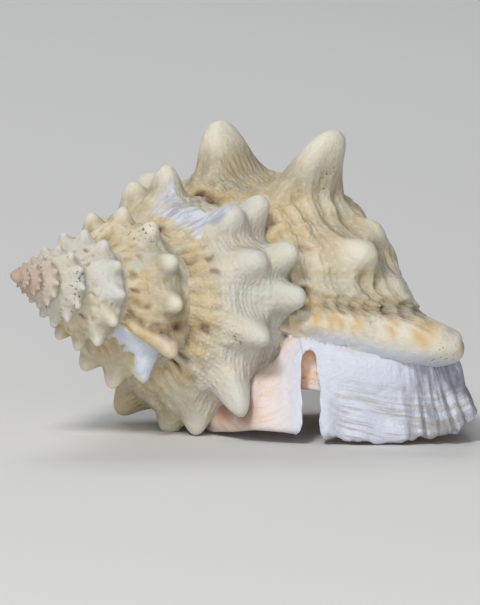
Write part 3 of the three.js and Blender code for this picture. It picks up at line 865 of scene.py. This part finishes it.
# The olive of the painted shade in the relief's low parts.
SHADE_OLIVE = paint(158, 136, 92)
BLUISH = paint(210, 215, 228)
LILAC = paint(150, 150, 163)
BAND_GREY = paint(158, 152, 143)
PINK = paint(184, 152, 134)
PALE_GREY = paint(206, 204, 196)
PALE_PINK = paint(230, 217, 212)
PEACH = paint(224, 182, 148)
# The brown of the painted shadow beside the lowest knobs.
PAINTED_SHADOW_BROWN = paint(168, 112, 66)
DIRT = paint(52, 46, 40)


class Nodes:
    """Builds a material's nodes, with short names for the few kinds that the shell needs."""

    def __init__(self, name):
        self.material = bpy.data.materials.new(name)
        self.material.use_nodes = True
        self.tree = self.material.node_tree
        self.shader = self.tree.nodes["Principled BSDF"]
        self.object_place = self.tree.nodes.new("ShaderNodeTexCoord").outputs["Object"]

    def link(self, value, socket):
        if isinstance(value, (int, float)):
            socket.default_value = value
        elif isinstance(value, tuple):
            socket.default_value = (*value, 1)
        else:
            self.tree.links.new(value, socket)

    def mark(self, name):
        node = self.tree.nodes.new("ShaderNodeAttribute")
        node.attribute_name = name
        return node.outputs["Fac"]

    def math(self, kind, *values):
        node = self.tree.nodes.new("ShaderNodeMath")
        node.operation = kind
        for socket, value in zip(node.inputs, values):
            self.link(value, socket)
        return node.outputs[0]

    def times(self, a, b):
        return self.math("MULTIPLY", a, b)

    def plus(self, a, b):
        return self.math("ADD", a, b)

    def range(self, value, low, high, to_low=0.0, to_high=1.0):
        node = self.tree.nodes.new("ShaderNodeMapRange")
        self.link(value, node.inputs["Value"])
        names = ("From Min", "From Max", "To Min", "To Max")
        for name, number in zip(names, (low, high, to_low, to_high)):
            node.inputs[name].default_value = number
        return node.outputs["Result"]

    def noise(self, scale, detail=4.0, rough=0.6, place=None):
        node = self.tree.nodes.new("ShaderNodeTexNoise")
        node.inputs["Scale"].default_value = scale
        node.inputs["Detail"].default_value = detail
        node.inputs["Roughness"].default_value = rough
        self.link(place or self.object_place, node.inputs["Vector"])
        return node.outputs["Fac"]

    def join(self, x, y):
        node = self.tree.nodes.new("ShaderNodeCombineXYZ")
        self.link(x, node.inputs["X"])
        self.link(y, node.inputs["Y"])
        return node.outputs["Vector"]

    def mix(self, amount, a, b):
        node = self.tree.nodes.new("ShaderNodeMix")
        node.data_type = "RGBA"
        node.clamp_factor = True
        self.link(amount, node.inputs["Factor"])
        self.link(a, node.inputs[6])
        self.link(b, node.inputs[7])
        return node.outputs[2]


def shell_material():
    n = Nodes("shell")
    around, along = n.mark("around"), n.mark("along")
    knob, pit, sheet, lip = n.mark("knob"), n.mark("pit"), n.mark("sheet"), n.mark("lip")
    apron, callus, reach = n.mark("apron"), n.mark("callus"), n.mark("reach")
    streaks = n.noise(1.0, 3.0, 0.6, n.join(n.times(around, 0.5), n.times(along, 0.09)))
    fine_streaks = n.noise(1.0, 3.0, 0.6, n.join(n.times(around, 1.3), n.times(along, 0.2)))
    wide = n.noise(70)
    middle = n.noise(190)

    large = n.range(around, -260, -100)

    # the coil: cream and grey, tan in streaks and below the seam, olive painted shade in the relief's
    # low parts, brown pits, pale knobs
    colour = n.mix(n.range(wide, 0.42, 0.58), CREAM, GREY)
    colour = n.mix(n.times(n.range(streaks, 0.46, 0.70), 0.45), colour, TAN)
    colour = n.mix(n.times(n.range(n.noise(55), 0.50, 0.62), 0.6), colour, TAN)
    seam = n.range(along, 15, 6)
    colour = n.mix(n.times(n.times(seam, 0.8), n.range(middle, 0.35, 0.6)), colour, TAN)
    colour = n.mix(n.times(n.times(n.mark("lump"), 0.55), n.range(middle, 0.38, 0.62)), colour, ORANGE)
    colour = n.mix(n.times(n.range(fine_streaks, 0.50, 0.72), 0.35), colour, IVORY)
    # Painted shade: the relief's low parts darkened towards olive.
    painted_crevice_shade = n.times(n.mark("low"), n.range(large, 0.0, 1.0, 0.9, 0.65))
    colour = n.mix(n.times(painted_crevice_shade, n.range(middle, 0.3, 0.6, 0.4, 0.95)), colour, SHADE_OLIVE)
    cords = n.math("SINE", n.times(n.plus(along, n.times(wide, 3.0)), 2 * math.pi / 1.45))
    beads = n.math("SINE", n.times(n.plus(around, n.times(middle, 2.0)), 2 * math.pi / 1.5))
    beaded = n.times(n.range(cords, -1, 1), n.range(beads, -1, 1, 0.2, 1.0))
    colour = n.mix(n.times(n.times(n.range(beaded, 0.55, 0.9), large), 0.25), colour, IVORY)
    colour = n.mix(n.times(knob, 0.8), colour, IVORY)
    past_old_lip = n.times(n.range(around, -165, -140), n.range(around, -75, -100))
    side_of_whorl = n.times(n.range(along, 9, 14), past_old_lip)
    early = n.range(around, -400, -470)
    greyed = n.times(n.plus(side_of_whorl, early), n.range(middle, 0.3, 0.6, 0.35, 0.8))
    colour = n.mix(greyed, colour, PALE_GREY)
    young = n.range(around, -640, -900)
    colour = n.mix(n.times(young, n.range(middle, 0.3, 0.6, 0.35, 0.9)), colour, PINK)
    colour = n.mix(n.times(lip, n.range(middle, 0.35, 0.6, 0.9, 0.5)), colour, IVORY)
    # Amber on the coil's stripes; on the rim the same mark is painted shadow, which the inner lip's
    # colour paints brown below.
    colour = n.mix(n.times(n.mark("stripe_and_shadow"), 0.85), colour, AMBER)
    colour = n.mix(n.range(n.times(pit, n.range(n.noise(320), 0.25, 0.6)), 0.08, 0.9), colour, BROWN)
    whitened = n.times(n.range(around, 42.9, 45.0), n.range(along, 6, 10, 0.15, 0.95))
    colour = n.mix(whitened, colour, BLUISH)

    # old lips and the apron: bluish white, with lilac between the apron's flutes
    lines = n.times(n.range(streaks, 0.42, 0.62), n.range(around, -235, -190, 0.15, 0.85))
    white = n.mix(lines, BLUISH, LILAC)
    white = n.mix(n.times(n.range(around, -400, -440), n.range(middle, 0.35, 0.6)), white, PALE_GREY)
    patchy = n.times(sheet, n.range(n.noise(260), 0.3, 0.55, 0.6, 1.3))
    colour = n.mix(n.range(patchy, 0.15, 0.85), colour, white)
    bands = n.noise(1.0, 4.0, 0.65, n.join(n.times(around, 0.12), n.times(along, 0.9)))
    grown = n.times(n.range(reach, 0.4, 0.7), n.range(bands, 0.45, 0.6))
    apron_colour = n.mix(n.times(n.mark("flute"), n.range(fine_streaks, 0.4, 0.6)), BLUISH, LILAC)
    apron_colour = n.mix(n.times(grown, 0.75), apron_colour, BAND_GREY)
    apron_colour = n.mix(n.times(n.range(reach, 0.25, 0.0), 0.6), apron_colour, CREAM)
    colour = n.mix(apron, colour, apron_colour)

    # the inner lip: pinkish white with peach growth lines, and brown painted shadow beside the lowest
    # knobs
    callus_colour = n.mix(n.times(n.range(bands, 0.48, 0.66), 0.6), PALE_PINK, PEACH)
    callus_colour = n.mix(n.range(reach, 0.75, 0.3, 0.0, 0.3), callus_colour, PEACH)
    # Painted shadow: brown beside the lowest knobs, from the rim's part of the stripes' mark.
    callus_colour = n.mix(n.times(n.mark("stripe_and_shadow"), 0.8), callus_colour, PAINTED_SHADOW_BROWN)
    colour = n.mix(callus, colour, callus_colour)
    colour = n.mix(n.mark("inside"), colour, n.mix(n.range(wide, 0.4, 0.6), PALE_PINK, PEACH))
    colour = n.mix(n.mark("canal"), colour, n.mix(n.range(middle, 0.4, 0.6), PEACH, PALE_PINK))
    colour = n.mix(n.times(n.mark("collar"), 0.9), colour, BLUISH)

    # dark specks of dirt in a few patches
    patches = n.plus(n.mark("speck"), n.times(n.range(n.noise(60, 1.0), 0.66, 0.72), 0.3))
    specks = n.times(n.range(n.noise(1500, 1.0), 0.64, 0.68), patches)
    colour = n.mix(n.times(specks, 0.75), colour, DIRT)
    n.link(colour, n.shader.inputs["Base Color"])

    worn = n.math("MAXIMUM", n.math("MAXIMUM", sheet, apron), callus)
    rough = n.plus(n.range(n.noise(300), 0.3, 0.7, 0.42, 0.68), n.times(worn, -0.16))
    n.link(rough, n.shader.inputs["Roughness"])

    # fine beads along the coil, growth lines on the smooth parts, and a grain all over
    rough_part = n.math("SUBTRACT", 1.0, worn)
    rough_part = n.times(rough_part, n.range(knob, 0.5, 0.0))
    height = n.times(n.times(n.times(beaded, rough_part), large), 0.25)
    height = n.plus(height, n.times(n.times(bands, worn), 0.4))
    height = n.plus(height, n.times(n.noise(650, 5.0, 0.65), 0.9))
    height = n.plus(height, n.times(specks, -0.5))
    bump = n.tree.nodes.new("ShaderNodeBump")
    bump.inputs["Strength"].default_value = 0.8
    bump.inputs["Distance"].default_value = 0.0006
    n.link(height, bump.inputs["Height"])
    n.link(bump.outputs["Normal"], n.shader.inputs["Normal"])
    return n.material


shell.data.materials.clear()
shell.data.materials.append(shell_material())
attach(shell, "root")
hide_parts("shell")

# The camera: the photo's view of the coil's axis, seen from far off. VIEW_TURN is the angle between the
# axis and the line of sight, in degrees, and CAMERA_FAR is in millimetres.
VIEW_TURN = 43.945
VIEW_ROLL = 7.307
PIXELS_PER_MM = 5.34
APEX_PIXEL = (10, 275)
FRAME_PIXELS = (480, 605)
CAMERA_FAR = 2500
SENSOR_WIDTH = 36


def make_camera():
    """The camera, whose middle ray goes through the middle of the photo's frame."""
    turn, roll = math.radians(VIEW_TURN), math.radians(VIEW_ROLL)
    flat = math.sin(turn)
    axis = np.array([flat * math.cos(roll), -flat * math.sin(roll), -math.cos(turn)])
    up = np.array([math.sin(roll), math.cos(roll), 0])
    to_shell = np.stack([axis, -np.cross(axis, up), up])
    middle = (np.array(cad_low) + np.array(cad_high)) / 2
    middle_seen = ((middle - REST_OFFSET) * MM_PER_METRE @ REST) @ to_shell
    seen = np.array([
        (FRAME_PIXELS[0] / 2 - APEX_PIXEL[0]) / PIXELS_PER_MM,
        -(FRAME_PIXELS[1] / 2 - APEX_PIXEL[1]) / PIXELS_PER_MM,
        middle_seen[2] + CAMERA_FAR,
    ])
    data = bpy.data.cameras.new("camera")
    data.sensor_width = SENSOR_WIDTH
    data.lens = data.sensor_width * CAMERA_FAR / (FRAME_PIXELS[1] / PIXELS_PER_MM)
    data.clip_start, data.clip_end = 0.1, 50
    camera = bpy.data.objects.new("camera", data)
    bpy.context.scene.collection.objects.link(camera)
    turned = Matrix((REST @ to_shell).tolist()).to_4x4()
    camera.matrix_world = Matrix.Translation(to_world(to_shell @ seen)) @ turned
    bpy.context.scene.camera = camera


make_camera()


def area_light(name, where, energy, size, colour):
    """A square light that points at the middle of the floor."""
    data = bpy.data.lights.new(name, "AREA")
    data.energy, data.size, data.color = energy, size, colour
    light = bpy.data.objects.new(name, data)
    light.location = where
    light.rotation_euler = (-Vector(where)).to_track_quat("-Z", "Y").to_euler()
    bpy.context.scene.collection.objects.link(light)


area_light("key", (-1.15, -0.55, 1.2), 16, 0.3, (1.0, 0.985, 0.95))
area_light("fill", (-1.2, -1.05, 0.3), 10, 1.0, (0.97, 0.98, 1.0))
area_light("back", (0.5, 0.9, 1.2), 7, 0.8, (1.0, 1.0, 1.0))

# The floor and the studio's light, which are no part of the shell.
FLOOR_HALF = 8
FLOOR_CORNERS = [(x * FLOOR_HALF, y * FLOOR_HALF, 0) for x, y in ((-1, -1), (1, -1), (1, 1), (-1, 1))]
floor_mesh = bpy.data.meshes.new("floor")
floor_mesh.from_pydata(FLOOR_CORNERS, [], [(0, 1, 2, 3)])
floor = bpy.data.objects.new("floor", floor_mesh)
bpy.context.scene.collection.objects.link(floor)
floor_material = bpy.data.materials.new("floor")
floor_material.use_nodes = True
floor_shader = floor_material.node_tree.nodes["Principled BSDF"]
floor_shader.inputs["Base Color"].default_value = (0.75, 0.75, 0.74, 1)
floor_shader.inputs["Roughness"].default_value = 0.8
floor_mesh.materials.append(floor_material)
floor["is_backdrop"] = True

world = bpy.data.worlds.new("studio")
bpy.context.scene.world = world
world.use_nodes = True
world.node_tree.nodes["Background"].inputs["Color"].default_value = (0.9, 0.93, 1.0, 1)
world.node_tree.nodes["Background"].inputs["Strength"].default_value = 0.2
bpy.context.scene.view_settings.view_transform = "Standard"

low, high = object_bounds()
{"cad": [list(cad_low), list(cad_high)], "visual": [list(low), list(high)]}
